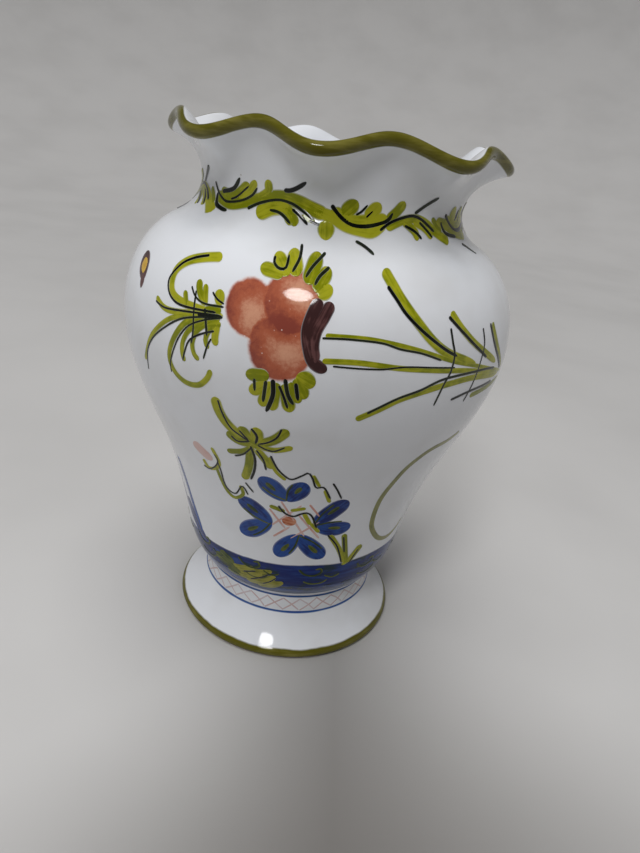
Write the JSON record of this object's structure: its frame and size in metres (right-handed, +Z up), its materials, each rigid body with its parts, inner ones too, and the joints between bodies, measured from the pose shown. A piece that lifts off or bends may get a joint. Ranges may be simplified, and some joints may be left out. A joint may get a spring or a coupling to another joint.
{
  "type": "footed ruffled vase",
  "caption": "Hand-painted glazed pottery vase with a round belly, a narrow waist on a flared hollow foot, and a flared collar with a ruffled lip.",
  "frame": {"origin": "on the vase's axis, in the plane the foot rests on", "axes": "+Z up along the axis through the mouth, -Y towards the painted front, +X to its right"},
  "size_m": [0.1818, 0.1818, 0.2487],
  "materials": {
    "glaze": "glossy white tin glaze with brushed decoration",
    "slip": "matt fired slip",
    "olive_paint": "glossy olive band",
    "brushwork": "glossy in-glaze brush strokes",
    "bare_clay": "matt unglazed fired clay"
  },
  "bodies": {
    "root": {"foot": "glaze", "foot_slip": "slip", "body": "glaze", "neck_slip": "slip", "collar": "glaze"}
  },
  "joints": []
}
